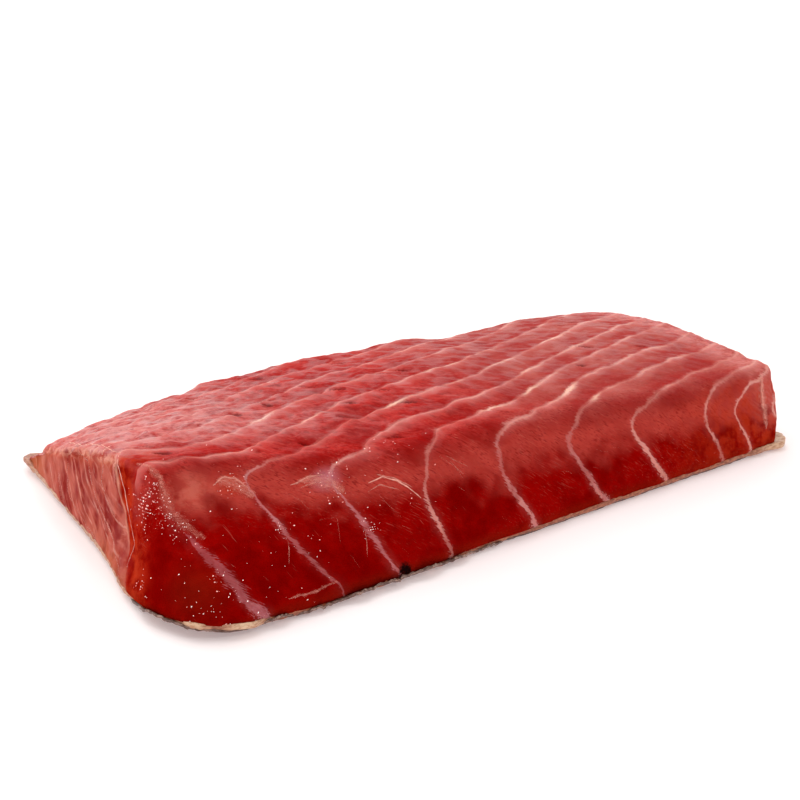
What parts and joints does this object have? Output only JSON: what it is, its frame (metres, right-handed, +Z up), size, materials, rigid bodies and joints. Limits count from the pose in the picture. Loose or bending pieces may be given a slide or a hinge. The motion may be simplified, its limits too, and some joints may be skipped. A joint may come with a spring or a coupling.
{
  "type": "raw tuna belly",
  "caption": "Thick skin-on slab of raw red fish muscle with pale curved seams between its muscle bands, cut square at both ends and lying on its flat skin.",
  "frame": {"origin": "middle of the slab's footprint, on the surface it lies on", "axes": "+X along the slab's length, from the end with the thin tip to the squarer end; +Y from the tall curved front cut to the back; +Z up"},
  "size_m": [0.3324, 0.1794, 0.0507],
  "materials": {
    "flesh": "wet raw red fish muscle, translucent, with pale seams",
    "fat_layer": "moist cream fat under the skin",
    "skin": "wet dark brown and silver fish skin"
  },
  "bodies": {
    "root": {"flesh": "flesh", "fat_layer": "fat_layer", "skin": "skin"}
  },
  "joints": []
}
